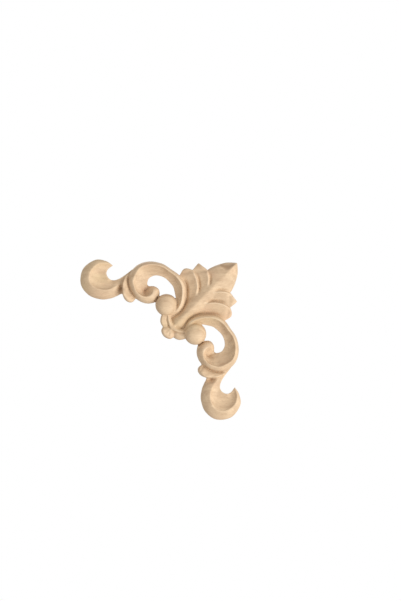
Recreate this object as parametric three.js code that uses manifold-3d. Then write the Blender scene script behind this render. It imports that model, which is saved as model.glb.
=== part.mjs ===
import * as THREE from 'three';
import { mergeVertices } from 'three/addons/utils/BufferGeometryUtils.js';
import Module from 'manifold-3d';

// A corner applique of carved wood, one flat-backed piece.
// X is right, Z is up and the carved face looks toward -Y. The back lies in the plane y = 0.
// The origin is on the diagonal at the root of the leaf. The two arms mirror each other in
// that diagonal, which swaps x and z, so only the left arm is described below.

// Driving sizes in mm
const LEG_LENGTH = 80;
const RELIEF_DEPTH = 8.4;

// Every station below is drawn on a plan whose leg and relief measure this much.
const DRAWN_LEG = 79.26;
const DRAWN_RELIEF = 8.4;
const PLAN_SCALE = LEG_LENGTH / DRAWN_LEG;
const HEIGHT_SCALE = RELIEF_DEPTH / DRAWN_RELIEF;

// Heights above the back, before scaling
const EDGE = 2.8;
const SCROLL_EDGE = 3.2;
const SCROLL_CREST = 7.6;
const SCROLL_BED = 3.6;
const PIT_FLOOR = 2.2;
const HOOK_CREST = 6.6;
const HOOK_BED = 3.0;
const BALL_TOP = DRAWN_RELIEF;
const LOBE_BED = 3.5;

// Centres in the plan that the curves are struck from
const HOOK_CENTRE = [-38.5, 21.5];
const EYE_CENTRE = [-9, 16];
const VOLUTE_CENTRE = [-15.5, 15.8];
const BALL_CENTRE = [-5.65, 8.85];
const BALL_RADIUS = 5.55;

// Facets across each ribbon
const ROLL_STEPS = 4;
const HOLLOW_STEPS = 5;

const WOOD_COLOUR = 0xd9b283;

const around = (centre, degrees, radius) => {
  const angle = THREE.MathUtils.degToRad(degrees);
  return [centre[0] + radius * Math.cos(angle), centre[1] + radius * Math.sin(angle)];
};

// A station holds three plan points with their heights: the foot of the outer roll, the crest,
// and the inner edge of the hollow.
const station = (foot, crest, inner, footHeight, crestHeight, innerHeight) => ({
  foot: new THREE.Vector3(...foot, footHeight),
  crest: new THREE.Vector3(...crest, crestHeight),
  inner: new THREE.Vector3(...inner, innerHeight),
});

// End hook: angle about its centre, foot radius, crest radius, crest height.
// Each is paired with a point of the notch that bounds the spoon on the inside.
const hookTurns = [
  [48, 8.6, 8.4, 3.0],
  [72, 9.3, 8.0, 4.6],
  [105, 9.65, 7.0, 5.8],
  [150, 9.7, 5.7, 6.4],
  [195, 9.8, 5.1, HOOK_CREST],
  [235, 9.75, 4.9, HOOK_CREST],
  [272, 10.15, 5.2, HOOK_CREST],
];
const notch = [
  [-32.9, 27.8],
  [-34.1, 26.7],
  [-35.15, 25.3],
  [-35.3, 23.9],
  [-34.9, 22.8],
  [-34.2, 21.8],
  [-32.9, 20.95],
];
const hookStations = hookTurns.map(([angle, foot, crest, height], i) => station(
  around(HOOK_CENTRE, angle, foot),
  around(HOOK_CENTRE, angle, crest),
  notch[i],
  EDGE,
  height,
  HOOK_BED,
));
// The neck runs under the small leaf.
hookStations.push(
  station(around(HOOK_CENTRE, 298, 11.0), [-34.6, 16.2], [-31.1, 20.85], EDGE, 6.3, 3.3),
  station(around(HOOK_CENTRE, 314, 11.9), [-31.9, 17.2], [-29.2, 21.45], EDGE, 5.4, 3.6),
  station(around(HOOK_CENTRE, 324, 12.8), [-29.6, 18.6], [-27.2, 22.6], EDGE, 4.5, 3.6),
  station(around(HOOK_CENTRE, 330, 14.8), [-26.8, 20.6], [-24.4, 25.1], EDGE, 3.8, 3.4),
);

// C-scroll: angle about the eye, then foot, crest and inner radius, and crest height
const archTurns = [
  [-68, 14.2, 13.9, 13.4, 4.0],
  [-48, 14.7, 13.2, 12.0, 5.6],
  [-30, 14.4, 12.7, 9.6, 6.8],
  [-10, 13.7, 12.0, 7.2, 7.4],
  [12, 13.3, 11.5, 6.7, SCROLL_CREST],
  [35, 12.4, 11.0, 6.25, SCROLL_CREST],
  [60, 11.9, 10.7, 6.35, SCROLL_CREST],
  [85, 13.2, 11.9, 6.85, SCROLL_CREST],
  [110, 15.0, 13.6, 7.6, SCROLL_CREST],
  [132, 16.5, 14.9, 7.8, SCROLL_CREST],
];
const scrollStations = archTurns.map(([angle, foot, crest, inner, height]) => station(
  around(EYE_CENTRE, angle, foot),
  around(EYE_CENTRE, angle, crest),
  around(EYE_CENTRE, angle, inner),
  SCROLL_EDGE,
  height,
  SCROLL_BED,
));
// Its curled end: angle about the volute, foot and crest radius, crest height.
// The inner edge slides down the pit from the eye to the tip of the curl.
const voluteTurns = [
  [140, 11.6, 8.6, 7.4],
  [163, 9.7, 6.3, 7.3],
  [190, 7.9, 4.7, 7.2],
  [218, 6.6, 3.2, 7.0],
  [248, 6.3, 2.6, 6.9],
  [280, 6.65, 2.5, 6.8],
  [312, 7.3, 2.6, 6.7],
  [340, 6.8, 2.7, 6.4],
  [364, 6.1, 2.8, 5.8],
  [386, 4.5, 2.8, 4.6],
  [410, 2.9, 2.6, 3.0],
];
const pitWall = new THREE.CatmullRomCurve3([
  new THREE.Vector3(-15.05, 19.8, 3.2),
  new THREE.Vector3(-15.1, 17.6, 2.4),
  new THREE.Vector3(-15.4, 16.2, PIT_FLOOR),
  new THREE.Vector3(-15.3, 16.3, PIT_FLOOR),
  new THREE.Vector3(-15.1, 16.7, PIT_FLOOR),
  new THREE.Vector3(-14.8, 17.7, 2.4),
]);
voluteTurns.forEach(([angle, foot, crest, height], i) => {
  const inner = pitWall.getPoint(i / (voluteTurns.length - 1));
  scrollStations.push(station(
    around(VOLUTE_CENTRE, angle, foot),
    around(VOLUTE_CENTRE, angle, crest),
    [inner.x, inner.y],
    EDGE,
    height,
    inner.z,
  ));
});

// Small spoon-shaped leaf that covers the joint between the hook and the scroll
const leafletStations = [
  station([-24.4, 25.0], [-24.2, 24.9], [-23.6, 24.4], EDGE, 3.6, 3.2),
  station([-26.2, 22.2], [-25.5, 22.2], [-24.2, 21.4], EDGE, 5.0, 3.2),
  station([-27.3, 18.6], [-26.4, 18.6], [-24.2, 18.0], EDGE, 5.8, 3.2),
  station([-27.9, 14.8], [-26.5, 15.6], [-23.4, 15.6], EDGE, 6.0, 3.4),
  station([-27.7, 12.3], [-25.8, 14.0], [-22.9, 14.6], EDGE, 6.0, 3.6),
  station([-26.0, 10.6], [-24.8, 13.2], [-22.4, 14.0], EDGE, 6.0, 3.8),
  station([-24.2, 9.9], [-23.6, 12.9], [-21.8, 13.5], EDGE, 5.8, 3.8),
  station([-22.3, 10.2], [-22.4, 12.6], [-21.2, 13.0], EDGE, 5.4, 3.8),
  station([-21.0, 11.5], [-21.1, 12.2], [-20.4, 12.4], EDGE, 4.2, 3.2),
];

// Side lobes of the leaf. Each rises from its bed beside the scroll to a lip over the next one.
const firstLobeStations = [
  station([-0.5, 1.2], [-0.9, 1.4], [-3.6, 3.4], 3.0, 4.6, 3.4),
  station([4.0, 7.2], [3.6, 7.5], [0.6, 5.4], 3.4, 5.0, 3.4),
  station([8.9, 12.2], [8.2, 12.6], [2.2, 9.0], 3.6, 5.3, 3.4),
  station([10.3, 16.8], [9.4, 16.9], [3.0, 14.0], 3.6, 5.9, 3.4),
  station([9.9, 21.0], [9.0, 20.8], [2.2, 18.6], 3.6, 5.8, LOBE_BED),
  station([8.7, 24.0], [7.9, 23.6], [0.8, 22.4], 3.4, 5.4, LOBE_BED),
  station([7.3, 25.8], [6.8, 25.2], [1.3, 24.0], 3.0, 4.8, 3.4),
  station([4.6, 26.7], [4.7, 26.0], [2.1, 25.4], 3.0, 4.2, 3.4),
  station([2.8, 26.4], [3.0, 26.1], [2.3, 25.9], 3.0, 3.4, 3.0),
];
const secondLobeStations = [
  station([6.0, 7.6], [5.8, 7.7], [4.2, 8.0], 3.0, 4.6, 3.6),
  station([11.0, 13.4], [10.6, 13.6], [7.6, 12.6], 3.6, 5.4, 3.6),
  station([15.0, 17.6], [14.2, 17.8], [9.0, 16.0], 3.6, 5.9, 3.6),
  station([15.8, 21.2], [14.9, 21.2], [9.0, 19.6], 3.6, 6.0, 3.6),
  station([15.3, 24.4], [14.4, 24.2], [8.0, 23.2], 3.4, 5.6, 3.7),
  station([14.5, 26.0], [13.7, 25.4], [7.2, 25.4], 3.0, 5.0, 3.6),
  station([12.2, 27.8], [11.8, 27.1], [8.4, 27.2], 3.0, 4.4, LOBE_BED),
  station([10.2, 29.4], [10.2, 29.0], [9.7, 28.8], 3.0, 3.2, 3.0),
];

// Middle lobe, which is also the stem. The inner edge is the ridge on the diagonal.
const middleLobeStations = [
  station([-4.5, 1.5], [-4.0, 1.2], [-2.6, -2.6], 3.0, 3.4, 4.8),
  station([-0.5, 4.5], [-0.2, 4.2], [1.0, 1.0], 3.0, 3.6, 6.0),
  station([3.6, 9.5], [3.8, 9.2], [5.5, 5.5], 3.0, 3.8, 6.6),
  station([8.5, 14.5], [8.8, 14.2], [10.5, 10.5], 3.0, 4.0, 6.9),
  station([12.0, 20.5], [12.4, 20.0], [15.0, 15.0], 3.0, 4.2, 7.0),
  station([14.2, 25.3], [14.6, 24.4], [18.8, 18.8], 3.0, 4.3, 7.0),
  station([17.2, 27.4], [17.9, 26.5], [22.0, 22.0], 2.6, 4.8, 6.9),
  station([20.4, 28.7], [21.4, 26.4], [24.2, 24.2], 2.4, 5.6, 6.7),
  station([24.4, 29.6], [24.8, 26.6], [26.2, 26.2], 2.2, 5.9, 6.3),
  station([27.4, 29.6], [27.4, 28.2], [27.9, 27.9], 2.2, 5.0, 5.3),
  station([29.15, 29.35], [29.15, 29.25], [29.15, 29.15], 2.2, 3.0, 3.2),
];

const placed = (planX, planZ, height) => new THREE.Vector3(
  planX * PLAN_SCALE,
  -height * HEIGHT_SCALE,
  planZ * PLAN_SCALE,
);

// Every solid starts a little behind the back plane, which then trims them all at once.
const BEHIND_BACK = -1;

const wasm = await Module();
wasm.setup();

function solidFrom(geometry) {
  geometry.deleteAttribute('normal');
  geometry.deleteAttribute('uv');
  const merged = mergeVertices(geometry, 1e-4);
  const position = merged.attributes.position;
  const corners = merged.index.array;
  const triangles = [];
  let volume = 0;
  const a = new THREE.Vector3();
  const b = new THREE.Vector3();
  const c = new THREE.Vector3();
  for (let i = 0; i < corners.length; i += 3) {
    const [p, q, r] = [corners[i], corners[i + 1], corners[i + 2]];
    if (p === q || q === r || r === p) continue;
    a.fromBufferAttribute(position, p);
    b.fromBufferAttribute(position, q);
    c.fromBufferAttribute(position, r);
    volume += a.dot(b.cross(c));
    triangles.push(p, q, r);
  }
  // A mirrored or reversed mapping turns the faces inward, so they are turned back.
  if (volume < 0) {
    for (let i = 0; i < triangles.length; i += 3) {
      [triangles[i + 1], triangles[i + 2]] = [triangles[i + 2], triangles[i + 1]];
    }
  }
  return new wasm.Manifold(new wasm.Mesh({
    numProp: 3,
    vertProperties: new Float32Array(position.array),
    triVerts: new Uint32Array(triangles),
  }));
}

function mapVertices(geometry, place) {
  const position = geometry.attributes.position;
  const vertex = new THREE.Vector3();
  for (let i = 0; i < position.count; i += 1) {
    vertex.fromBufferAttribute(position, i);
    const target = place(vertex);
    position.setXYZ(i, target.x, target.y, target.z);
  }
  return geometry;
}

// Point on a ribbon's surface. The roll climbs from the foot to the crest, along a straight line
// where bulge is 0 and along a quarter ellipse where it is 1. The hollow is a concave arc down to
// the inner edge, deeper where hollowStart, in degrees, is small.
function ribbonSurface({ stations, bulge, hollowStart }) {
  const rail = (name) => new THREE.CatmullRomCurve3(stations.map((s) => s[name]), false, 'catmullrom', 0.5);
  const feet = rail('foot');
  const crests = rail('crest');
  const inners = rail('inner');
  const start = THREE.MathUtils.degToRad(hollowStart);
  return (along, row) => {
    const foot = feet.getPoint(along);
    const crest = crests.getPoint(along);
    if (row <= ROLL_STEPS) {
      const share = row / ROLL_STEPS;
      const angle = share * Math.PI / 2;
      const plan = foot.clone().lerp(crest, THREE.MathUtils.lerp(share, 1 - Math.cos(angle), bulge));
      const rise = THREE.MathUtils.lerp(share, Math.sin(angle), bulge);
      return placed(plan.x, plan.y, foot.z + (crest.z - foot.z) * rise);
    }
    const inner = inners.getPoint(along);
    const angle = start + (Math.PI / 2 - start) * (row - ROLL_STEPS) / HOLLOW_STEPS;
    const plan = crest.clone().lerp(inner, 1 - Math.cos(angle) / Math.cos(start));
    const drop = (Math.sin(angle) - Math.sin(start)) / (1 - Math.sin(start));
    return placed(plan.x, plan.y, crest.z + (inner.z - crest.z) * drop);
  };
}

function ribbonGeometry(ribbon) {
  const surface = ribbonSurface(ribbon);
  const rows = ROLL_STEPS + HOLLOW_STEPS;
  const across = ribbon.bothSides ? 2 * rows : rows;
  const lengthSteps = (ribbon.stations.length - 1) * ribbon.stepsPerStation;
  const block = new THREE.BoxGeometry(1, 1, 1, lengthSteps, across, 1);
  return mapVertices(block, (vertex) => {
    const along = vertex.x + 0.5;
    const row = Math.round((vertex.y + 0.5) * across);
    const point = row <= rows ? surface(along, row) : mirrored(surface(along, 2 * rows - row));
    if (vertex.z < 0) point.y = -BEHIND_BACK;
    return point;
  });
}

function mirrored(point) {
  return new THREE.Vector3(point.z, point.y, point.x);
}

// A button with an oval plan, turned by an angle in the plan, on a short upright edge
function buttonGeometry(centre, radiusA, radiusB, degrees, edgeHeight, topHeight, segments, rings) {
  const profile = [new THREE.Vector2(0, BEHIND_BACK), new THREE.Vector2(1, BEHIND_BACK)];
  for (let i = 0; i <= rings; i += 1) {
    const angle = (i / rings) * Math.PI / 2;
    const radius = i === rings ? 0 : Math.cos(angle) ** 0.8;
    profile.push(new THREE.Vector2(radius, edgeHeight + (topHeight - edgeHeight) * Math.sin(angle) ** 0.9));
  }
  const turn = THREE.MathUtils.degToRad(degrees);
  return mapVertices(new THREE.LatheGeometry(profile, segments), (vertex) => {
    const a = vertex.x * radiusA;
    const b = vertex.z * radiusB;
    return placed(
      centre[0] + a * Math.cos(turn) - b * Math.sin(turn),
      centre[1] + a * Math.sin(turn) + b * Math.cos(turn),
      vertex.y,
    );
  });
}

// Pieces of the left arm, each made again mirrored for the right arm
const armGeometries = [
  ribbonGeometry({ stations: hookStations, bulge: 1, hollowStart: 20, stepsPerStation: 3 }),
  ribbonGeometry({ stations: scrollStations, bulge: 1, hollowStart: 20, stepsPerStation: 3 }),
  ribbonGeometry({ stations: leafletStations, bulge: 1, hollowStart: 62, stepsPerStation: 2 }),
  ribbonGeometry({ stations: firstLobeStations, bulge: 1, hollowStart: 50, stepsPerStation: 2 }),
  ribbonGeometry({ stations: secondLobeStations, bulge: 1, hollowStart: 50, stepsPerStation: 2 }),
  buttonGeometry(BALL_CENTRE, BALL_RADIUS, BALL_RADIUS, 0, 3.0, BALL_TOP, 28, 5),
  // Floor of the volute pit
  buttonGeometry([-15.3, 16.4], 1.5, 1.5, 0, PIT_FLOOR - 0.3, PIT_FLOOR, 12, 2),
  // Side scallop of the shell and the petal inside it
  buttonGeometry([-6.6, 0.8], 2.15, 3.6, 3, 2.6, 4.6, 18, 4),
  buttonGeometry([-3.6, -0.4], 1.2, 3.9, 16, 3.0, 5.2, 16, 4),
];
// Pieces on the diagonal
const middleGeometries = [
  ribbonGeometry({
    stations: middleLobeStations, bulge: 0.25, hollowStart: 60, stepsPerStation: 2, bothSides: true,
  }),
  // Ground under the root of the leaf, and the corner scallop of the shell
  buttonGeometry([-1, -1], 6.2, 5.6, 45, 2.4, 3.4, 16, 2),
  buttonGeometry([-4.9, -4.9], 2.9, 4.2, 45, 2.6, 4.4, 20, 4),
];

let carving = solidFrom(middleGeometries[0].clone());
for (const geometry of middleGeometries.slice(1)) {
  carving = carving.add(solidFrom(geometry));
}
for (const geometry of armGeometries) {
  carving = carving.add(solidFrom(geometry.clone()));
  carving = carving.add(solidFrom(mapVertices(geometry.clone(), mirrored)));
}

// Flat back in the plane y = 0
const trimDepth = 10;
const trim = new THREE.BoxGeometry(4 * LEG_LENGTH, trimDepth, 4 * LEG_LENGTH);
trim.translate(0, trimDepth / 2, 0);
carving = carving.subtract(solidFrom(trim));

const carved = carving.getMesh();
const geometry = new THREE.BufferGeometry();
geometry.setAttribute('position', new THREE.BufferAttribute(new Float32Array(carved.vertProperties), 3));
geometry.setIndex(new THREE.BufferAttribute(new Uint32Array(carved.triVerts), 1));
geometry.computeVertexNormals();

const wood = new THREE.MeshStandardMaterial({ color: WOOD_COLOUR, roughness: 0.7, metalness: 0 });
const applique = new THREE.Mesh(geometry, wood);
applique.name = 'corner_applique';

const part = new THREE.Group();
part.add(applique);

export default part;
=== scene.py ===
"""A carved corner applique of bare light hardwood, dressed over its solid.

Lengths in the plan tables are in millimetres on the drawn plan, x to the right and z up.
Only the left arm is drawn. The right arm is its mirror image in the diagonal, x and z swapped.
"""
import math

import bmesh
import bpy
import numpy as np
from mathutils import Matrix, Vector, noise


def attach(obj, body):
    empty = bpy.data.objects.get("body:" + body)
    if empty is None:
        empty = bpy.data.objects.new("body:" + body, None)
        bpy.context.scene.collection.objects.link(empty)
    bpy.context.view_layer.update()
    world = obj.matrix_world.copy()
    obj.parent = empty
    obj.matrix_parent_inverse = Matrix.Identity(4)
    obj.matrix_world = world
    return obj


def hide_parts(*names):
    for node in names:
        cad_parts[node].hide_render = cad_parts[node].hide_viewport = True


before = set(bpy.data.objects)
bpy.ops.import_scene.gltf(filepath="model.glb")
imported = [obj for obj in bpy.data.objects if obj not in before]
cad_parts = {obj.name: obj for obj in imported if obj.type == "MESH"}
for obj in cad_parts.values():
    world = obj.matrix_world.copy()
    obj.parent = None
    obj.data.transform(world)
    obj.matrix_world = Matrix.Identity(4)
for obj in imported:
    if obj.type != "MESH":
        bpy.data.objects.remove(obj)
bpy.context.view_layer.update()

NODE = "corner_applique"

# The drawn plan and relief, and their size on the real piece
DRAWN_LEG = 79.26
LEG = 80.0
PLAN_SCALE = 0.001 * LEG / DRAWN_LEG
HEIGHT_SCALE = 0.001

# Heights above the back, in millimetres
EDGE = 2.8
SCROLL_EDGE = 3.2
SCROLL_CREST = 7.6
SCROLL_BED = 3.4
PIT_FLOOR = 2.3
HOOK_CREST = 6.6
HOOK_BED = 2.8
BALL_TOP = 8.4
LOBE_BED = 3.5
BEHIND_BACK = -1.0

# Centres that the curves are struck from
HOOK_CENTRE = (-38.5, 21.5)
EYE_CENTRE = (-9.0, 16.0)
VOLUTE_CENTRE = (-15.5, 15.8)
BALL_CENTRE = (-5.7, 8.65)
BALL_RADIUS = 5.4

# Small rounds that close the pit of the curl below its wall: centre and radius
PIT_ROUNDS = [((-16.0, 15.9), 1.6), ((-15.35, 17.0), 1.3)]

# How finely the blocks are divided: across a ribbon's face, along it from one station to the
# next, and round a button
RIBBON_ROWS = 30
RIBBON_STEPS = 10
BUTTON_SIDES = 48
BUTTON_RINGS = 32

# Fineness of the carved skin, in metres
VOXEL = 0.0002
SKIN_TRIANGLES = 190000

# An edge that turns more than this stays crisp, as the rim of the sawn back does
CRISP_ANGLE = math.radians(60)

# Steps of a chisel path from one of its points to the next
PATH_STEPS = 6

# Cuts leave the upright edges alone up to this height above the back, and reach their full
# depth over the next stretch, both in millimetres
HOLD_HEIGHT = 0.8
HOLD_FADE = 1.2

# Depth of the wave that sanding leaves, in millimetres, and its two sizes, in waves per metre
SANDED_WAVE = 0.04
SWELL_SCALE = 260
RIPPLE_SCALE = 900

# How far around a place its surroundings reach when its hollow is worked out, in metres
HOLLOW_REACH = 0.0014

# Axes that a path is rubbed smooth along
HEIGHT_ONLY = (1,)
ALL_AXES = (0, 1, 2)

# How far one pass moves a place towards the mean of its neighbours: when a path is rubbed, when
# all heights are sanded, and when the mean of the surroundings is worked out
RUB_SHARE = 0.6
SAND_SHARE = 0.5
SPREAD_SHARE = 0.7

# Colours of the bare wood, linear
PALE_WOOD = (0.71, 0.525, 0.34, 1)
DEEP_WOOD = (0.55, 0.385, 0.240, 1)
PINK_WOOD = (0.63, 0.405, 0.260, 1)
YELLOW_WOOD = (0.64, 0.485, 0.275, 1)
BROWN_WOOD = (0.34, 0.215, 0.125, 1)
# Painted shade that is multiplied into the hollows, and painted highlight mixed onto the crests
PAINTED_SHADE_WOOD = (0.55, 0.44, 0.34, 1)
PAINTED_HIGHLIGHT_WOOD = (0.82, 0.635, 0.445, 1)

# Fineness of the figure in the wood, in repeats per metre
BEND_SCALE = 70.0
BAND_SCALE = 95.0
PATCH_SCALE = 95.0
STRAND_SCALE = 620.0
SPECKLE_SCALE = 950.0
FIBRE_SCALE = 2100.0
PORE_SCALE = 3600.0

# Lamps: direction that each shines from, distance, width and power
KEY_LAMP = ((0.74, -0.62, -0.24), 1.1, 0.7, 10.4)
BACK_LAMP = ((-0.25, 0.9, 0.35), 1.3, 0.9, 5.0)
SURROUND_LIGHT = 0.7
PAPER_WHITE = (1, 1, 1, 1)

# Floor: half its width and how far it lies below the origin, in metres
FLOOR_HALF_WIDTH = 31.0
FLOOR_DROP = 4.0
FLOOR_PAINT = (0.95, 0.95, 0.95, 1)

# Camera: place in metres, and lens and film width in millimetres
CAMERA_PLACE = (0.0113, -1.251, 0.0109)
LENS = 150.0
FILM_WIDTH = 36.0


def around(centre, degrees, radius):
    angle = math.radians(degrees)
    return (centre[0] + radius * math.cos(angle), centre[1] + radius * math.sin(angle))


def station(foot, crest, inner, foot_height, crest_height, inner_height, belly):
    """Foot of the outer roll, crest and inner edge, each with its height.

    Between the crest and the inner edge the face is hollow at a belly of -1, straight at 0
    and full at 1.
    """
    return (
        Vector((*foot, foot_height, 0)),
        Vector((*crest, crest_height, 0)),
        Vector((*inner, inner_height, belly)),
    )


def along_curve(points, share):
    """A smooth curve through evenly spaced points."""
    last = len(points) - 1
    place = share * last
    index = min(int(place), last - 1)
    part = place - index
    here, there = points[index], points[index + 1]
    before = points[index - 1] if index > 0 else 2 * here - there
    after = points[index + 2] if index + 2 <= last else 2 * there - here
    return 0.5 * (
        2 * here
        + (there - before) * part
        + (2 * before - 5 * here + 4 * there - after) * part ** 2
        + (3 * here - before - 3 * there + after) * part ** 3
    )


def placed(plan_x, plan_z, height, mirror):
    x, z = (plan_z, plan_x) if mirror else (plan_x, plan_z)
    return Vector((x * PLAN_SCALE, -height * HEIGHT_SCALE, z * PLAN_SCALE))


def ribbon_point(rails, along, across, bulge):
    """A point on a ribbon: across runs 0 to 1 up the roll and 1 to 2 over the inner face."""
    foot, crest, inner = (along_curve(rail, along) for rail in rails)
    if across <= 1:
        angle = across * math.pi / 2
        run = across + (1 - math.cos(angle) - across) * bulge
        rise = across + (math.sin(angle) - across) * bulge
        plan = foot.xy.lerp(crest.xy, run)
        return plan.x, plan.y, foot.z + (crest.z - foot.z) * rise
    share = across - 1
    angle = share * math.pi / 2
    belly = inner.w
    turned_run, turned_drop = 1 - math.cos(angle), math.sin(angle)
    if belly > 0:
        turned_run, turned_drop = turned_drop, turned_run
    run = share + (turned_run - share) * abs(belly)
    drop = share + (turned_drop - share) * abs(belly)
    plan = crest.xy.lerp(inner.xy, run)
    return plan.x, plan.y, crest.z + (inner.z - crest.z) * drop


def add_ribbon(carving, stations, bulge=1.0, both_sides=False, mirror=False):
    """A solid block whose front face is the ribbon, or the ribbon and its mirror image."""
    rails = list(zip(*stations))
    sides = 2 if both_sides else 1
    grid = bmesh.ops.create_grid(
        carving, x_segments=(len(stations) - 1) * RIBBON_STEPS, y_segments=RIBBON_ROWS * sides, size=0.5)
    for vert in grid["verts"]:
        along = min(max(vert.co.x + 0.5, 0.0), 1.0)
        across = min(max(vert.co.y + 0.5, 0.0), 1.0) * 2 * sides
        far_half = across > 2
        point = ribbon_point(rails, along, 4 - across if far_half else across, bulge)
        vert.co = placed(*point, mirror != far_half)
    carving.faces.index_update()
    faces = {face for vert in grid["verts"] for face in vert.link_faces}
    back = bmesh.ops.extrude_face_region(carving, geom=sorted(faces, key=lambda face: face.index))
    for element in back["geom"]:
        if isinstance(element, bmesh.types.BMVert):
            element.co.y = -BEHIND_BACK * HEIGHT_SCALE


def unit_ball():
    ball = bmesh.new()
    bmesh.ops.create_uvsphere(ball, u_segments=BUTTON_SIDES, v_segments=BUTTON_RINGS, radius=1.0)
    mesh = bpy.data.meshes.new("unit_ball")
    ball.to_mesh(mesh)
    ball.free()
    return mesh


def add_button(carving, ball, centre, radii, turn, edge_height, top_height, mirror=False):
    """A solid button with an oval plan on an upright edge, made from a unit ball."""
    first = len(carving.verts)
    carving.from_mesh(ball)
    carving.verts.ensure_lookup_table()
    angle = math.radians(turn)
    for vert in carving.verts[first:]:
        side = math.hypot(vert.co.x, vert.co.y)
        if side < 1e-4:
            reach = 0.0
        elif vert.co.z > 0:
            reach = side ** 0.8 / side
        else:
            reach = 1 / side
        a = vert.co.x * reach * radii[0]
        b = vert.co.y * reach * radii[1]
        if vert.co.z > 0:
            height = edge_height + (top_height - edge_height) * vert.co.z ** 0.9
        else:
            height = edge_height + (edge_height - BEHIND_BACK) * vert.co.z
        vert.co = placed(
            centre[0] + a * math.cos(angle) - b * math.sin(angle),
            centre[1] + a * math.sin(angle) + b * math.cos(angle),
            height,
            mirror,
        )


# End hook: angle about its centre, foot radius, crest radius, crest height, and the
# point of the notch that bounds the spoon on the inside
HOOK_TURNS = [
    (46, 9.2, 9.0, 3.0, (-32.3, 28.0)),
    (72, 9.3, 8.0, 4.6, (-34.1, 26.7)),
    (105, 9.65, 6.9, 5.8, (-35.15, 25.3)),
    (150, 9.7, 5.6, 6.4, (-35.3, 23.9)),
    (195, 9.8, 5.1, HOOK_CREST, (-34.9, 22.8)),
    (235, 9.75, 4.9, HOOK_CREST, (-34.2, 21.8)),
    (272, 10.15, 5.2, HOOK_CREST, (-32.9, 20.95)),
]
hook = [
    station(around(HOOK_CENTRE, angle, foot), around(HOOK_CENTRE, angle, crest), notch,
            EDGE, height, HOOK_BED, -0.55)
    for angle, foot, crest, height, notch in HOOK_TURNS
]
# The neck runs under the small leaf.
hook += [
    station(around(HOOK_CENTRE, 298, 11.0), (-34.6, 16.2), (-31.1, 20.85), EDGE, 6.3, 3.3, -0.7),
    station(around(HOOK_CENTRE, 314, 11.9), (-31.9, 17.2), (-29.2, 21.45), EDGE, 5.4, 3.6, -0.7),
    station(around(HOOK_CENTRE, 324, 12.8), (-29.6, 18.6), (-27.2, 22.6), EDGE, 4.5, 3.6, -0.7),
    station(around(HOOK_CENTRE, 330, 14.8), (-26.6, 20.8), (-25.0, 24.2), EDGE, 3.8, 3.4, -0.7),
    station((-24.4, 16.6), (-23.2, 21.8), (-22.6, 26.1), EDGE, 3.6, 3.4, -0.3),
]

# C-scroll: angle about the eye, then foot, crest and inner radius, crest height and bed height
ARCH_TURNS = [
    (-68, 14.2, 13.7, 13.2, 4.0, 3.8),
    (-48, 14.6, 12.9, 12.0, 5.8, 4.8),
    (-30, 14.1, 12.2, 9.3, 6.9, 4.5),
    (-10, 13.2, 11.4, 7.6, 7.4, 4.1),
    (12, 12.9, 11.1, 6.9, SCROLL_CREST, 3.9),
    (35, 12.2, 10.6, 6.25, SCROLL_CREST, 3.7),
    (60, 11.7, 10.3, 6.35, SCROLL_CREST, SCROLL_BED),
    (85, 13.1, 11.7, 6.85, SCROLL_CREST, SCROLL_BED),
    (110, 15.0, 13.2, 7.6, SCROLL_CREST, SCROLL_BED),
    (132, 16.5, 14.4, 7.8, SCROLL_CREST, SCROLL_BED),
]
scroll = [
    station(around(EYE_CENTRE, angle, foot), around(EYE_CENTRE, angle, crest),
            around(EYE_CENTRE, angle, inner), SCROLL_EDGE, height, bed, -0.45)
    for angle, foot, crest, inner, height, bed in ARCH_TURNS
]
# Its curled end: angle about the volute, foot and crest radius, crest height, and belly.
# The inner edge slides down the pit from the eye to the tip of the curl.
VOLUTE_TURNS = [
    (140, 11.6, 8.2, 7.4, -0.5),
    (163, 9.7, 6.1, 7.3, -0.6),
    (190, 7.9, 4.7, 7.2, -0.7),
    (218, 6.6, 3.7, 7.0, -0.7),
    (248, 6.3, 3.3, 6.9, -0.6),
    (280, 6.65, 3.1, 6.8, -0.4),
    (312, 7.3, 3.3, 6.7, -0.1),
    (340, 6.8, 3.5, 6.4, 0.2),
    (364, 6.1, 3.4, 5.8, 0.2),
    (386, 4.5, 2.9, 4.6, 0.2),
    (410, 2.9, 2.6, 3.0, 0.0),
]
PIT_WALL = [
    Vector((-15.1, 19.8, 3.4)),
    Vector((-15.4, 17.9, 2.7)),
    Vector((-16.6, 16.2, PIT_FLOOR)),
    Vector((-16.3, 15.6, PIT_FLOOR)),
    Vector((-15.3, 16.3, PIT_FLOOR)),
    Vector((-14.8, 17.7, 2.6)),
]
for turn_index, (angle, foot, crest, height, belly) in enumerate(VOLUTE_TURNS):
    pit = along_curve(PIT_WALL, turn_index / (len(VOLUTE_TURNS) - 1))
    scroll.append(station(around(VOLUTE_CENTRE, angle, foot), around(VOLUTE_CENTRE, angle, crest),
                          (pit.x, pit.y), EDGE, height, pit.z, belly))

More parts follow.
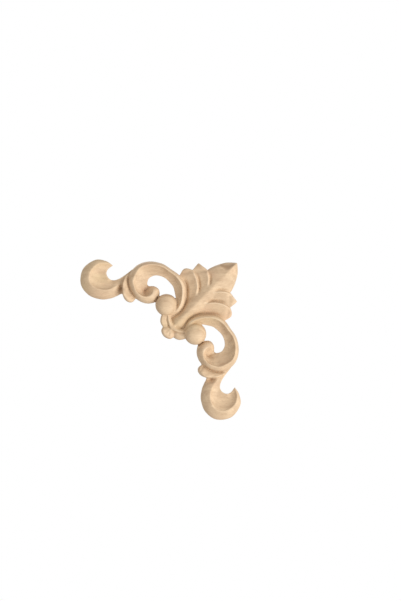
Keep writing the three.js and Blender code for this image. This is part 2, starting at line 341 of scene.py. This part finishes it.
# Small leaf over the joint between the hook and the scroll, high on its left and
# falling to the groove beside the scroll
leaflet = [
    station((-25.1, 23.7), (-24.7, 23.7), (-23.4, 23.4), EDGE, 4.1, 3.6, 0.0),
    station((-25.9, 22.8), (-25.4, 22.7), (-23.9, 22.4), EDGE, 4.8, 3.8, 0.0),
    station((-26.9, 20.6), (-26.5, 20.6), (-23.9, 20.6), EDGE, 5.6, 3.6, 0.1),
    station((-27.4, 18.2), (-27.0, 18.2), (-23.5, 18.0), EDGE, 6.4, 3.4, 0.1),
    station((-27.5, 15.6), (-27.0, 15.7), (-22.9, 16.2), EDGE, 6.8, 3.3, 0.1),
    station((-27.1, 13.2), (-26.5, 13.5), (-22.0, 14.5), EDGE, 6.8, 3.3, 0.15),
    station((-26.1, 11.2), (-25.1, 12.0), (-21.6, 13.3), EDGE, 6.4, 3.3, 0.2),
    station((-24.5, 10.0), (-23.9, 11.1), (-21.4, 12.5), EDGE, 5.4, 3.0, 0.3),
    station((-22.7, 9.9), (-22.6, 10.9), (-20.9, 12.1), EDGE, 4.8, 3.2, 0.4),
    station((-21.3, 11.0), (-21.4, 11.5), (-20.7, 12.0), EDGE, 3.8, 3.0, 0.3),
]

# Shell at the corner: an outer row of scallops, and petals that clasp the root of the stem
side_scallop = [
    station((-7.9, 4.2), (-7.2, 4.1), (-4.9, 3.8), EDGE, 5.0, 4.5, 0.4),
    station((-8.5, 2.4), (-7.7, 2.4), (-4.9, 2.4), 2.6, 5.1, 4.6, 0.4),
    station((-8.7, 0.6), (-7.8, 0.7), (-4.6, 0.8), 2.6, 5.0, 4.5, 0.4),
    station((-8.3, -0.8), (-7.5, -0.6), (-4.6, -0.5), 2.6, 4.8, 4.4, 0.4),
    station((-7.3, -2.4), (-6.8, -2.3), (-4.3, -2.1), 2.4, 3.9, 3.8, 0.2),
]
corner_scallop = [
    station((-7.3, -1.9), (-6.8, -1.9), (-4.3, -1.6), 2.4, 4.0, 3.8, 0.2),
    station((-8.2, -3.7), (-7.2, -3.6), (-4.1, -2.6), 2.6, 5.0, 4.3, 0.3),
    station((-7.9, -5.4), (-6.8, -5.0), (-3.6, -3.0), 2.6, 5.2, 4.5, 0.3),
    station((-6.95, -6.95), (-6.1, -6.1), (-3.2, -3.2), 2.6, 5.2, 4.6, 0.3),
]
petal = [
    station((-5.3, 3.6), (-4.8, 3.5), (-3.4, 3.0), 4.3, 5.2, 4.0, 0.3),
    station((-5.0, 1.1), (-4.5, 1.2), (-3.1, 1.4), 4.3, 5.3, 4.3, 0.3),
    station((-4.6, -0.6), (-4.1, -0.4), (-2.5, 0.0), 4.3, 5.3, 4.6, 0.3),
    station((-4.2, -2.0), (-3.7, -1.7), (-1.9, -0.9), 4.3, 5.2, 4.8, 0.3),
    station((-3.4, -3.4), (-2.9, -2.9), (-1.2, -1.2), 4.2, 5.1, 4.8, 0.3),
]

# Side lobes of the leaf, each rising from its bed beside the scroll to a lip over the next one
first_lobe = [
    station((1.5, 4.0), (1.2, 4.2), (-0.5, 3.8), 3.0, 4.0, 3.2, -0.3),
    station((5.0, 8.2), (4.6, 8.4), (1.6, 6.0), 3.4, 4.7, 3.3, -0.3),
    station((8.9, 12.2), (8.2, 12.6), (3.2, 9.4), 3.6, 5.3, 3.4, -0.3),
    station((10.2, 16.8), (9.5, 16.9), (3.6, 14.0), 3.6, 6.0, 3.4, -0.3),
    station((9.8, 21.0), (9.1, 20.8), (2.4, 18.6), 3.6, 6.0, LOBE_BED, -0.3),
    station((8.6, 24.0), (8.0, 23.7), (0.8, 22.4), 3.4, 5.6, LOBE_BED, -0.2),
    station((7.3, 25.8), (6.8, 25.2), (1.3, 24.0), 3.0, 4.8, 3.4, -0.2),
    station((4.6, 26.7), (4.7, 26.0), (2.1, 25.4), 3.0, 4.2, 3.4, 0.0),
    station((2.8, 26.4), (3.0, 26.1), (2.3, 25.9), 3.0, 3.4, 3.0, 0.0),
]
second_lobe = [
    station((7.5, 9.6), (7.2, 9.8), (6.0, 10.4), 3.0, 4.8, 4.2, -0.3),
    station((11.2, 13.6), (10.8, 13.8), (8.0, 13.4), 3.6, 5.4, 4.3, -0.3),
    station((15.0, 17.4), (14.4, 17.6), (9.2, 16.2), 3.6, 6.0, 4.4, -0.3),
    station((15.7, 21.2), (15.0, 21.2), (9.2, 19.6), 3.6, 6.3, 4.4, -0.3),
    station((15.2, 24.4), (14.6, 24.2), (8.0, 23.2), 3.4, 6.0, 4.2, -0.3),
    station((14.5, 26.0), (13.7, 25.4), (7.2, 25.4), 3.0, 5.0, 3.6, -0.2),
    station((12.2, 27.8), (11.8, 27.1), (8.4, 27.2), 3.0, 4.4, LOBE_BED, 0.0),
    station((10.2, 29.4), (10.2, 29.0), (9.7, 28.8), 3.0, 3.2, 3.0, 0.0),
]

# Middle lobe, which is also the stem. Its inner edge is the ridge on the diagonal.
middle_lobe = [
    station((-3.6, 1.6), (-3.4, 1.4), (-2.0, -2.0), 3.0, 3.3, 4.6, -0.5),
    station((-1.7, 2.9), (-1.5, 2.8), (0.2, 0.2), 3.0, 3.6, 5.7, -0.5),
    station((0.6, 4.7), (0.8, 4.6), (2.8, 2.8), 3.0, 3.7, 6.2, -0.4),
    station((3.0, 8.2), (3.3, 8.0), (6.0, 6.0), 3.0, 3.8, 6.5, -0.35),
    station((6.4, 13.2), (6.8, 13.0), (10.0, 10.0), 3.0, 4.2, 6.8, -0.3),
    station((11.2, 19.5), (11.6, 19.2), (14.6, 14.6), 3.0, 4.2, 7.0, -0.15),
    station((14.2, 25.3), (14.6, 24.6), (18.8, 18.8), 3.0, 4.3, 7.0, -0.15),
    station((17.2, 27.4), (17.9, 26.6), (22.0, 22.0), 2.6, 4.8, 6.9, -0.3),
    station((20.2, 28.6), (20.7, 27.5), (24.0, 24.0), 2.0, 5.5, 6.9, 0.0),
    station((23.6, 29.5), (23.4, 25.4), (24.9, 24.9), 1.6, 6.5, 6.8, 0.0),
    station((26.4, 29.6), (26.1, 26.7), (26.6, 26.6), 1.6, 6.1, 6.2, 0.0),
    station((28.0, 29.5), (27.9, 28.4), (28.2, 28.2), 1.8, 4.6, 4.8, -0.1),
    station((29.15, 29.35), (29.15, 29.25), (29.15, 29.15), 2.0, 3.0, 3.1, -0.1),
]


def set_face_order(carving):
    """Put the faces in the order of their corners, so that every run fuses the same skin."""
    carving.verts.index_update()
    count = len(carving.verts)

    def place_in_order(face):
        lowest, *middle, highest = sorted(vert.index for vert in face.verts)
        return (lowest * count + highest) * 2 * count + sum(middle)

    carving.faces.sort(key=place_in_order)


def rough_out():
    """All the forms as overlapping closed blocks in one mesh."""
    carving = bmesh.new()
    ball = unit_ball()
    for mirror in (False, True):
        add_ribbon(carving, hook, bulge=0.5, mirror=mirror)
        add_ribbon(carving, scroll, bulge=0.7, mirror=mirror)
        add_ribbon(carving, leaflet, mirror=mirror)
        add_ribbon(carving, first_lobe, mirror=mirror)
        add_ribbon(carving, second_lobe, mirror=mirror)
        add_button(carving, ball, BALL_CENTRE, (BALL_RADIUS, BALL_RADIUS), 0, 3.0, BALL_TOP, mirror)
        for centre, radius in PIT_ROUNDS:
            add_button(carving, ball, centre, (radius, radius), 0, PIT_FLOOR - 0.3, PIT_FLOOR, mirror)
        add_ribbon(carving, side_scallop, mirror=mirror)
        add_ribbon(carving, corner_scallop, mirror=mirror)
        add_ribbon(carving, petal, mirror=mirror)
    add_ribbon(carving, middle_lobe, bulge=0.25, both_sides=True)
    # A low ground that carries the shell
    add_button(carving, ball, (-1.0, -1.0), (6.2, 5.6), 45, 2.4, 3.4)
    set_face_order(carving)
    bmesh.ops.recalc_face_normals(carving, faces=carving.faces)
    mesh = bpy.data.meshes.new("carving")
    carving.to_mesh(mesh)
    carving.free()
    piece = bpy.data.objects.new("carved_skin", mesh)
    bpy.context.scene.collection.objects.link(piece)
    return piece


def apply_modifiers(piece):
    """Give the piece the mesh that its modifiers make, and drop them."""
    graph = bpy.context.evaluated_depsgraph_get()
    graph.update()
    finished = bpy.data.meshes.new_from_object(piece.evaluated_get(graph))
    piece.modifiers.clear()
    blank = piece.data
    piece.data = finished
    bpy.data.meshes.remove(blank)


def fuse(piece):
    """Join the blocks into one closed skin and soften the voxel steps."""
    remesh = piece.modifiers.new("fuse", "REMESH")
    remesh.mode = "VOXEL"
    remesh.voxel_size = VOXEL
    smooth = piece.modifiers.new("sand", "SMOOTH")
    smooth.factor = 0.5
    smooth.iterations = 2
    apply_modifiers(piece)


class Chisel:
    """Works the front of the fused skin along paths that are drawn on the plan."""

    def __init__(self, piece):
        self.mesh = piece.data
        count = len(self.mesh.vertices)
        places = np.empty(count * 3, np.float32)
        self.mesh.vertices.foreach_get("co", places)
        self.places = places.reshape(count, 3)
        pairs = np.empty(len(self.mesh.edges) * 2, np.int32)
        self.mesh.edges.foreach_get("vertices", pairs)
        self.starts, self.ends = pairs.reshape(-1, 2).T
        self.degree = np.bincount(pairs, minlength=count)

    def near(self, path, width, mirror):
        """How close each vertex lies to a path, 1 on it and 0 at the width, and how far along."""
        plan = self.places[:, (2, 0) if mirror else (0, 2)] / PLAN_SCALE
        steps = PATH_STEPS * (len(path) - 1)
        points = [Vector(point) for point in path]
        line = np.array([along_curve(points, step / steps) for step in range(steps + 1)])
        best = np.full(len(plan), np.inf)
        along = np.zeros(len(plan))
        for step in range(steps):
            start, run = line[step], line[step + 1] - line[step]
            offset = plan - start
            share = np.clip(offset @ run / (run @ run), 0, 1)
            distance = np.linalg.norm(offset - share[:, None] * run, axis=1)
            closer = distance < best
            best[closer] = distance[closer]
            along[closer] = (step + share[closer]) / steps
        return np.clip(1 - best / width, 0, 1), along

    def cut(self, path, width, depth, taper=0.35, sharp=1.5, both=True):
        """Sink a groove that fades out at its ends, or raise a ridge where the depth is below 0."""
        for mirror in (False, True) if both else (False,):
            share, along = self.near(path, width, mirror)
            ends = np.clip(np.minimum(along, 1 - along) / taper, 0, 1)
            ends = ends * ends * (3 - 2 * ends)
            self.sink(depth * share ** sharp * ends)

    def sink(self, depth):
        """Move the front back by a depth in millimetres."""
        height = -self.places[:, 1] / HEIGHT_SCALE
        hold = np.clip((height - HOLD_HEIGHT) / HOLD_FADE, 0, 1)
        self.places[:, 1] += HEIGHT_SCALE * depth * hold

    def average(self, values):
        """The mean over the neighbours of each vertex."""
        total = np.bincount(self.starts, values[self.ends], len(values))
        total += np.bincount(self.ends, values[self.starts], len(values))
        return total / np.maximum(self.degree, 1)

    def soften(self, path, width, passes, both=True, axes=HEIGHT_ONLY):
        """Rub the heights smooth along a path, or the plan too where all axes are given."""
        weight = self.near(path, width, False)[0]
        if both:
            weight = np.maximum(weight, self.near(path, width, True)[0])
        weight = np.clip(2 * weight, 0, 1) * RUB_SHARE
        for axis in axes:
            rows = self.places[:, axis].astype(np.float64)
            for _ in range(passes):
                rows += weight * (self.average(rows) - rows)
            self.places[:, axis] = rows

    def even_out(self, passes):
        """A light sanding of all heights."""
        rows = self.places[:, 1].astype(np.float64)
        for _ in range(passes):
            rows += SAND_SHARE * (self.average(rows) - rows)
        self.places[:, 1] = rows

    def wander(self):
        """The slight unevenness that hand sanding leaves."""
        swell = np.array([noise.noise(Vector(place) * SWELL_SCALE) for place in self.places.tolist()])
        ripple = np.array([noise.noise(Vector(place) * RIPPLE_SCALE) for place in self.places.tolist()])
        self.sink(SANDED_WAVE * (swell + 0.3 * ripple))

    def mark_hollows(self):
        """Work out how deep each place lies in its surroundings, with crests below 0: the amount of
        painted shade, and of painted highlight below 0.
        """
        rows = self.places[:, 1].astype(np.float64)
        mean = rows.copy()
        for _ in range(round((HOLLOW_REACH / VOXEL) ** 2)):
            mean += SPREAD_SHARE * (self.average(mean) - mean)
        self.painted_shading = (rows - mean) / HEIGHT_SCALE

    def darken(self, path, width, amount, both=False):
        """Add painted shade to a place, or a painted highlight where the amount is below 0."""
        for mirror in (False, True) if both else (False,):
            share = self.near(path, width, mirror)[0]
            self.painted_shading += amount * share * share * (3 - 2 * share)

    def done(self):
        """Write the carved places, and the painted shade and highlight, to the mesh."""
        painted_shading = self.mesh.attributes.new("painted_shading", "FLOAT", "POINT")
        painted_shading.data.foreach_set("value", self.painted_shading.astype(np.float32))
        self.mesh.vertices.foreach_set("co", self.places.reshape(-1))
        self.mesh.update()


def carve(piece):
    """The finer cuts of the carving."""
    chisel = Chisel(piece)
    # The stem runs out into the first lobe without a step, and the ridge of the leaf, the rolls
    # and the small leaf have soft crests.
    chisel.soften([(1.6, 4.6), (4.4, 8.6), (8.0, 12.6)], 3.2, 40)
    chisel.soften([(-2.4, -2.4), (8.0, 8.0), (22.0, 22.0)], 2.4, 30, both=False)
    chisel.soften([crest.xy for foot, crest, inner in hook], 1.6, 8)
    chisel.soften([crest.xy for foot, crest, inner in scroll[4:]], 1.6, 8)
    chisel.soften([crest.xy for foot, crest, inner in leaflet], 1.2, 8)
    # The spoon and the scroll's bed rise again towards the notch and the eye.
    chisel.cut([(-34.6, 26.0), (-35.2, 24.2), (-34.2, 21.6), (-32.0, 20.8)], 4.0, -0.9)
    eye_edge = [around(EYE_CENTRE, angle, inner) for angle, _, _, inner, _, _ in ARCH_TURNS[3:]]
    chisel.cut(eye_edge, 2.2, -0.6)
    # Grooves at the foot of the scroll, beside the small leaf and round the ball
    scroll_foot = [(-62, 14.4), (-48, 15.0), (-30, 14.6), (-10, 13.8), (12, 13.5), (30, 12.9)]
    chisel.cut([around(EYE_CENTRE, angle, radius) for angle, radius in scroll_foot], 1.3, 1.0, taper=0.3)
    beside_leaflet = [(-24.3, 23.6), (-24.4, 19.8), (-23.9, 17.2), (-22.8, 14.8), (-20.9, 12.2)]
    chisel.cut(beside_leaflet, 0.9, 0.9, taper=0.15)
    chisel.soften(beside_leaflet, 0.6, 10)
    chisel.cut([(-9.7, 12.6), (-10.6, 11.4), (-11.6, 10.2)], 1.1, 1.0, taper=0.1)
    chisel.cut([(-1.0, 12.6), (-0.2, 10.8), (-0.1, 9.0), (-0.9, 7.0)], 0.8, 0.4, taper=0.3)
    # Grooves under the lips of the lobes
    under_first_lip = [(8.6, 25.4), (10.1, 22.2), (10.8, 18.6), (10.7, 15.8), (9.9, 13.0)]
    chisel.cut(under_first_lip, 0.9, 0.6)
    chisel.cut([(15.9, 25.2), (16.2, 22.2), (16.0, 19.4), (15.2, 17.2)], 0.9, 0.65, taper=0.4)
    # Groove between the two rows of the shell, and one between the petals and the root of the stem
    between_rows = [(-5.9, 2.8), (-5.45, 0.9), (-5.0, -0.6), (-4.5, -2.2), (-3.4, -3.8)]
    chisel.cut(between_rows, 0.8, 0.35, taper=0.2)
    chisel.cut([(-3.5, 3.0), (-3.1, 1.0), (-2.3, -0.6), (-1.4, -1.8)], 1.3, 0.7, taper=0.4)
    # Dark end of the hook's neck where it dives under the small leaf
    neck_end = [(-28.6, 13.2), (-28.2, 15.2), (-28.0, 17.6), (-27.6, 19.6)]
    chisel.cut(neck_end, 2.3, 1.6, taper=0.6, sharp=1.2)
    # A shallow flute on each side of the corner scallop
    chisel.cut([(-4.2, -3.7), (-5.4, -4.3), (-6.9, -4.7)], 0.9, 0.3, taper=0.4)
    # The scroll's thin end and the petals' tops run softly into the ball.
    chisel.soften([(-3.6, 4.1), (-1.7, 5.1), (-0.3, 6.6)], 1.0, 14)
    chisel.soften([(-5.4, 3.7), (-3.2, 3.6)], 0.9, 14)
    # The corner of the scroll's opening and the end of the small leaf are rounded.
    chisel.soften([(-15.4, 18.8), (-14.8, 17.9), (-13.2, 17.6)], 1.8, 40, axes=ALL_AXES)
    chisel.soften([(-21.8, 10.6), (-20.7, 11.8)], 1.3, 25, axes=ALL_AXES)
    chisel.even_out(2)
    chisel.wander()
    chisel.mark_hollows()
    # Painted shade on the steep left facet of the tip, on one side of it only
    chisel.darken([(21.4, 28.0), (23.4, 27.4), (25.6, 27.2), (27.4, 28.4)], 2.2, 0.45)
    # Painted highlight on the edges of the scroll, of the lips, of the curl and of the shell
    scroll_edge = [around(EYE_CENTRE, angle, foot - 0.9) for angle, foot, _, _, _, _ in ARCH_TURNS[1:6]]
    chisel.darken(scroll_edge, 1.2, -0.35, both=True)
    chisel.darken([(9.5, 13.4), (9.7, 16.9), (9.3, 20.9), (8.2, 23.8)], 0.8, -0.45, both=True)
    chisel.darken([(14.5, 17.6), (15.1, 21.2), (14.7, 24.2)], 0.7, -0.4, both=True)
    chisel.darken([(-13.6, 13.4), (-11.4, 14.0), (-10.4, 15.6)], 1.8, -0.25, both=True)
    chisel.darken([(-1.5, -5.4), (0.6, -5.6)], 1.4, -0.35)
    # Painted shade in the pit of the curl and between the shell and the ball
    chisel.darken([(-17.8, 17.4), (-17.2, 15.6), (-16.2, 14.6)], 1.8, 0.3, both=True)
    chisel.darken([(1.8, -3.2), (2.7, -5.4)], 1.1, 0.25)
    # Painted shade beside the small leaf of the left arm
    chisel.darken([(-30.2, 14.2), (-29.8, 16.0), (-29.2, 18.2)], 2.3, 0.42)
    chisel.done()


def flatten_back(piece):
    """Saw the back off flat in the plane y = 0."""
    skin = bmesh.new()
    skin.from_mesh(piece.data)
    bmesh.ops.bisect_plane(
        skin, geom=skin.verts[:] + skin.edges[:] + skin.faces[:], dist=1e-7,
        plane_co=(0, 0, 0), plane_no=(0, 1, 0), clear_outer=True)
    rim = [edge for edge in skin.edges if edge.is_boundary]
    for vert in {vert for edge in rim for vert in edge.verts}:
        vert.co.y = 0.0
    bmesh.ops.triangle_fill(skin, edges=rim, use_beauty=True, normal=(0, 1, 0))
    bmesh.ops.recalc_face_normals(skin, faces=skin.faces)
    skin.to_mesh(piece.data)
    skin.free()


def thin_out(piece):
    """Keep the skin under its triangle budget."""
    count = sum(len(polygon.vertices) - 2 for polygon in piece.data.polygons)
    if count > SKIN_TRIANGLES:
        decimate = piece.modifiers.new("thin", "DECIMATE")
        decimate.ratio = SKIN_TRIANGLES / count
        apply_modifiers(piece)


skin = rough_out()
fuse(skin)
carve(skin)
flatten_back(skin)
thin_out(skin)
for polygon in skin.data.polygons:
    polygon.use_smooth = True
skin.data.set_sharp_from_angle(angle=CRISP_ANGLE)

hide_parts(NODE)
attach(skin, "root")


class Value:
    """One number of a material, worked out at every point of the surface."""

    def __init__(self, graph, socket):
        self.graph = graph
        self.socket = socket

    def __add__(self, other):
        return self.graph.math("ADD", self, other)

    __radd__ = __add__

    def __sub__(self, other):
        return self.graph.math("SUBTRACT", self, other)

    def __rsub__(self, other):
        return self.graph.math("SUBTRACT", other, self)

    def __mul__(self, other):
        return self.graph.math("MULTIPLY", self, other)

    __rmul__ = __mul__

    def step(self, low, high):
        """0 below low, 1 above high and soft between."""
        return self.graph.node("ShaderNodeMapRange", {"interpolation_type": "SMOOTHSTEP"}, {
            "Value": self, "From Min": low, "From Max": high})


class Graph:
    """The shader nodes of one material."""

    def __init__(self, name):
        self.material = bpy.data.materials.new(name)
        self.material.use_nodes = True
        self.tree = self.material.node_tree
        self.shader = self.tree.nodes["Principled BSDF"]

    def put(self, socket, value):
        if isinstance(value, Value):
            self.tree.links.new(value.socket, socket)
        else:
            socket.default_value = value

    def node(self, kind, settings, values, output=0):
        made = self.tree.nodes.new(kind)
        for name, value in settings.items():
            setattr(made, name, value)
        for name, value in values.items():
            self.put(made.inputs[name], value)
        return Value(self, made.outputs[output])

    def math(self, operation, first, second):
        return self.node("ShaderNodeMath", {"operation": operation}, {0: first, 1: second})

    def mix(self, share, first, second, blend="MIX"):
        """A colour between two others."""
        return self.node("ShaderNodeMix", {"data_type": "RGBA", "blend_type": blend}, {
            0: share, 6: first, 7: second}, 2)

    def noise(self, place, stretch, scale, detail, distortion=0.0):
        pulled = self.node("ShaderNodeVectorMath", {"operation": "MULTIPLY"}, {0: place, 1: stretch})
        return self.node("ShaderNodeTexNoise", {"normalize": True}, {
            "Vector": pulled, "Scale": scale, "Detail": detail, "Roughness": 0.55,
            "Distortion": distortion})


def bare_hardwood():
    """Pale close-grained wood, sanded and bare, painted shade in the hollows and highlight on the
    crests. The grain runs along X.
    """
    wood = Graph("bare_hardwood")
    place = wood.node("ShaderNodeTexCoord", {}, {}, "Object")
    painted_shading = wood.node("ShaderNodeAttribute", {"attribute_name": "painted_shading"}, {}, "Fac")

    # Growth bands, fibres and short pores
    bend = wood.noise(place, (0.25, 1.0, 1.0), BEND_SCALE, 2.0)
    bands = wood.node("ShaderNodeTexWave", {"bands_direction": "DIAGONAL", "wave_profile": "SIN"}, {
        "Vector": wood.node("ShaderNodeVectorMath", {"operation": "MULTIPLY"}, {
            0: place, 1: (0.06, 1.6, 1.0)}),
        "Scale": BAND_SCALE, "Distortion": 7.0, "Detail": 3.0, "Detail Scale": 0.7})
    fibres = wood.noise(place, (0.09, 1.0, 1.0), FIBRE_SCALE, 4.0, 0.3)
    strands = wood.noise(place, (0.12, 1.0, 1.0), STRAND_SCALE, 3.0, 0.5)
    pores = wood.noise(place, (0.11, 1.0, 1.0), PORE_SCALE, 1.0).step(0.66, 0.74)
    speckle = wood.noise(place, (0.6, 1.0, 1.0), SPECKLE_SCALE, 2.0)
    patches = wood.noise(place, (0.6, 1.0, 1.0), PATCH_SCALE, 2.0, 0.4)

    tone = 0.14 * bands + 0.42 * strands + 0.44 * fibres
    colour = wood.mix(tone.step(0.25, 0.75), PALE_WOOD, DEEP_WOOD)
    colour = wood.mix(0.55 * patches.step(0.5, 0.75), colour, PINK_WOOD)
    colour = wood.mix(0.5 * bend.step(0.52, 0.72), colour, YELLOW_WOOD)
    colour = wood.mix(0.16 * speckle.step(0.5, 0.7), colour, BROWN_WOOD)
    colour = wood.mix(0.22 * pores, colour, BROWN_WOOD)
    # Painted shade darkens the hollows, and a painted highlight makes the crests paler.
    colour = wood.mix(0.85 * painted_shading.step(0.03, 0.75), colour, PAINTED_SHADE_WOOD, "MULTIPLY")
    colour = wood.mix(0.35 * (painted_shading * -1).step(0.05, 0.5), colour, PAINTED_HIGHLIGHT_WOOD)
    wood.put(wood.shader.inputs["Base Color"], colour)

    roughness = 0.56 + 0.12 * strands + 0.1 * pores
    wood.put(wood.shader.inputs["Roughness"], roughness)
    wood.put(wood.shader.inputs["Specular IOR Level"], 0.35)

    relief = 0.5 * fibres + 0.3 * strands - 0.8 * pores
    bump = wood.node("ShaderNodeBump", {}, {"Strength": 0.35, "Distance": 0.00006, "Height": relief})
    wood.put(wood.shader.inputs["Normal"], bump)
    return wood.material


skin.data.materials.clear()
skin.data.materials.append(bare_hardwood())


def area_light(name, direction, distance, size, power):
    """A round soft light that shines on the piece from a direction."""
    lamp = bpy.data.lights.new(name, "AREA")
    lamp.shape = "DISK"
    lamp.size = size
    lamp.energy = power
    holder = bpy.data.objects.new(name, lamp)
    toward = Vector(direction).normalized()
    holder.location = toward * distance
    holder.rotation_euler = (-toward).to_track_quat("-Z", "Y").to_euler()
    bpy.context.scene.collection.objects.link(holder)


def stage_floor():
    """A large flat pale floor, well below the piece."""
    floor = bmesh.new()
    bmesh.ops.create_grid(floor, x_segments=1, y_segments=1, size=FLOOR_HALF_WIDTH)
    bmesh.ops.translate(floor, verts=floor.verts, vec=(0, 0, -FLOOR_DROP))
    mesh = bpy.data.meshes.new("pale_floor")
    floor.to_mesh(mesh)
    floor.free()
    holder = bpy.data.objects.new("pale_floor", mesh)
    bpy.context.scene.collection.objects.link(holder)
    pale = bpy.data.materials.new("pale_floor")
    pale.use_nodes = True
    paint = pale.node_tree.nodes["Principled BSDF"]
    paint.inputs["Base Color"].default_value = FLOOR_PAINT
    paint.inputs["Roughness"].default_value = 0.9
    mesh.materials.append(pale)


def studio_world():
    """Even white light from all around. The paper behind the piece is plain white to the camera."""
    world = bpy.data.worlds.new("studio")
    bpy.context.scene.world = world
    world.use_nodes = True
    tree = world.node_tree
    surround = tree.nodes["Background"]
    surround.inputs["Color"].default_value = PAPER_WHITE
    surround.inputs["Strength"].default_value = SURROUND_LIGHT
    paper = tree.nodes.new("ShaderNodeBackground")
    paper.inputs["Color"].default_value = PAPER_WHITE
    paper.inputs["Strength"].default_value = 1.0
    mixer = tree.nodes.new("ShaderNodeMixShader")
    rays = tree.nodes.new("ShaderNodeLightPath")
    tree.links.new(rays.outputs["Is Camera Ray"], mixer.inputs[0])
    tree.links.new(surround.outputs[0], mixer.inputs[1])
    tree.links.new(paper.outputs[0], mixer.inputs[2])
    tree.links.new(mixer.outputs[0], tree.nodes["World Output"].inputs["Surface"])


stage_floor()
studio_world()
area_light("key", *KEY_LAMP)
area_light("back_fill", *BACK_LAMP)

# The view is square on to the carved face, from a metre and a quarter away.
camera_data = bpy.data.cameras.new("camera")
camera_data.lens = LENS
camera_data.sensor_width = FILM_WIDTH
camera = bpy.data.objects.new("camera", camera_data)
camera.location = CAMERA_PLACE
camera.rotation_euler = (math.pi / 2, 0, 0)
bpy.context.scene.collection.objects.link(camera)
bpy.context.scene.camera = camera

bpy.context.scene.view_settings.view_transform = "Standard"
